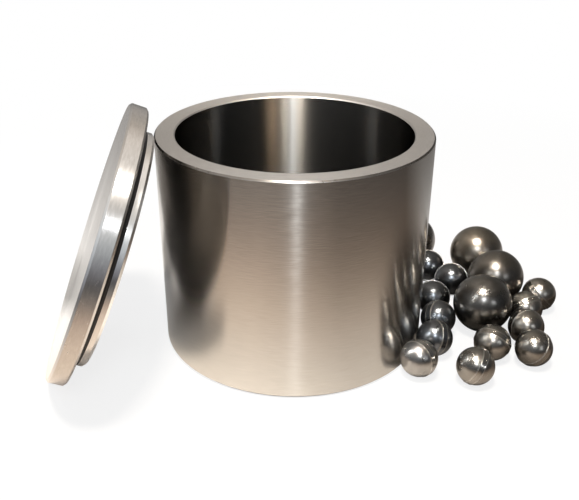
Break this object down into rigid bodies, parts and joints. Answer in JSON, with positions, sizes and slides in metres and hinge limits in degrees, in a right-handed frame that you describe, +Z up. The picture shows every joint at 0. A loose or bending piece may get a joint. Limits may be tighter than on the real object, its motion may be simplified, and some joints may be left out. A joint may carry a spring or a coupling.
{
  "type": "planetary ball mill grinding jar",
  "caption": "Open thick-walled steel grinding jar with a stepped, sealed lid leaning on its rim and loose large and small steel grinding balls beside it.",
  "frame": {"origin": "centre of the jar's base, on the bench", "axes": "+Z up along the jar's axis, +X towards the heap of balls, -X towards the leaning lid, -Y towards the picture's camera"},
  "size_m": [0.22, 0.1541, 0.104],
  "materials": {
    "jar_steel": "satin, brushed round the jar",
    "lid_steel": "satin, turned",
    "seal_rubber": "matte black",
    "large_ball_steel": "polished, dark",
    "small_ball_steel": "polished, dark, with a formed belt"
  },
  "bodies": {
    "jar": {"jar": "jar_steel"},
    "lid": {"lid": "lid_steel", "seal_ring": "seal_rubber"},
    "large_ball_1": {"large_ball_1": "large_ball_steel"},
    "large_ball_2": {"large_ball_2": "large_ball_steel"},
    "large_ball_3": {"large_ball_3": "large_ball_steel"},
    "large_ball_4": {"large_ball_4": "large_ball_steel"},
    "small_ball_1": {"small_ball_1": "small_ball_steel"},
    "small_ball_2": {"small_ball_2": "small_ball_steel"},
    "small_ball_3": {"small_ball_3": "small_ball_steel"},
    "small_ball_4": {"small_ball_4": "small_ball_steel"},
    "small_ball_5": {"small_ball_5": "small_ball_steel"},
    "small_ball_6": {"small_ball_6": "small_ball_steel"},
    "small_ball_7": {"small_ball_7": "small_ball_steel"},
    "small_ball_8": {"small_ball_8": "small_ball_steel"},
    "small_ball_9": {"small_ball_9": "small_ball_steel"},
    "small_ball_10": {"small_ball_10": "small_ball_steel"},
    "small_ball_11": {"small_ball_11": "small_ball_steel"},
    "small_ball_12": {"small_ball_12": "small_ball_steel"}
  },
  "joints": [
    {"name": "lid_tip", "type": "hinge", "parent": "jar", "child": "lid", "pos_m": [-0.0988, -0.03094, 0.00114], "axis": [-0.1478, 0.989, 0], "range_deg": [-112, 0]},
    {"name": "lift_large_ball_1", "type": "slide", "parent": "jar", "child": "large_ball_1", "axis": [0, 0, 1], "range_m": [0, 0.1]},
    {"name": "lift_large_ball_2", "type": "slide", "parent": "jar", "child": "large_ball_2", "axis": [0, 0, 1], "range_m": [0, 0.1]},
    {"name": "lift_large_ball_3", "type": "slide", "parent": "jar", "child": "large_ball_3", "axis": [0, 0, 1], "range_m": [0, 0.1]},
    {"name": "lift_large_ball_4", "type": "slide", "parent": "jar", "child": "large_ball_4", "axis": [0, 0, 1], "range_m": [0, 0.1]},
    {"name": "lift_small_ball_1", "type": "slide", "parent": "jar", "child": "small_ball_1", "axis": [0, 0, 1], "range_m": [0, 0.1]},
    {"name": "lift_small_ball_2", "type": "slide", "parent": "jar", "child": "small_ball_2", "axis": [0, 0, 1], "range_m": [0, 0.1]},
    {"name": "lift_small_ball_3", "type": "slide", "parent": "jar", "child": "small_ball_3", "axis": [0, 0, 1], "range_m": [0, 0.1]},
    {"name": "lift_small_ball_4", "type": "slide", "parent": "jar", "child": "small_ball_4", "axis": [0, 0, 1], "range_m": [0, 0.1]},
    {"name": "lift_small_ball_5", "type": "slide", "parent": "jar", "child": "small_ball_5", "axis": [0, 0, 1], "range_m": [0, 0.1]},
    {"name": "lift_small_ball_6", "type": "slide", "parent": "jar", "child": "small_ball_6", "axis": [0, 0, 1], "range_m": [0, 0.1]},
    {"name": "lift_small_ball_7", "type": "slide", "parent": "jar", "child": "small_ball_7", "axis": [0, 0, 1], "range_m": [0, 0.1]},
    {"name": "lift_small_ball_8", "type": "slide", "parent": "jar", "child": "small_ball_8", "axis": [0, 0, 1], "range_m": [0, 0.1]},
    {"name": "lift_small_ball_9", "type": "slide", "parent": "jar", "child": "small_ball_9", "axis": [0, 0, 1], "range_m": [0, 0.1]},
    {"name": "lift_small_ball_10", "type": "slide", "parent": "jar", "child": "small_ball_10", "axis": [0, 0, 1], "range_m": [0, 0.1]},
    {"name": "lift_small_ball_11", "type": "slide", "parent": "jar", "child": "small_ball_11", "axis": [0, 0, 1], "range_m": [0, 0.1]},
    {"name": "lift_small_ball_12", "type": "slide", "parent": "jar", "child": "small_ball_12", "axis": [0, 0, 1], "range_m": [0, 0.1]}
  ]
}
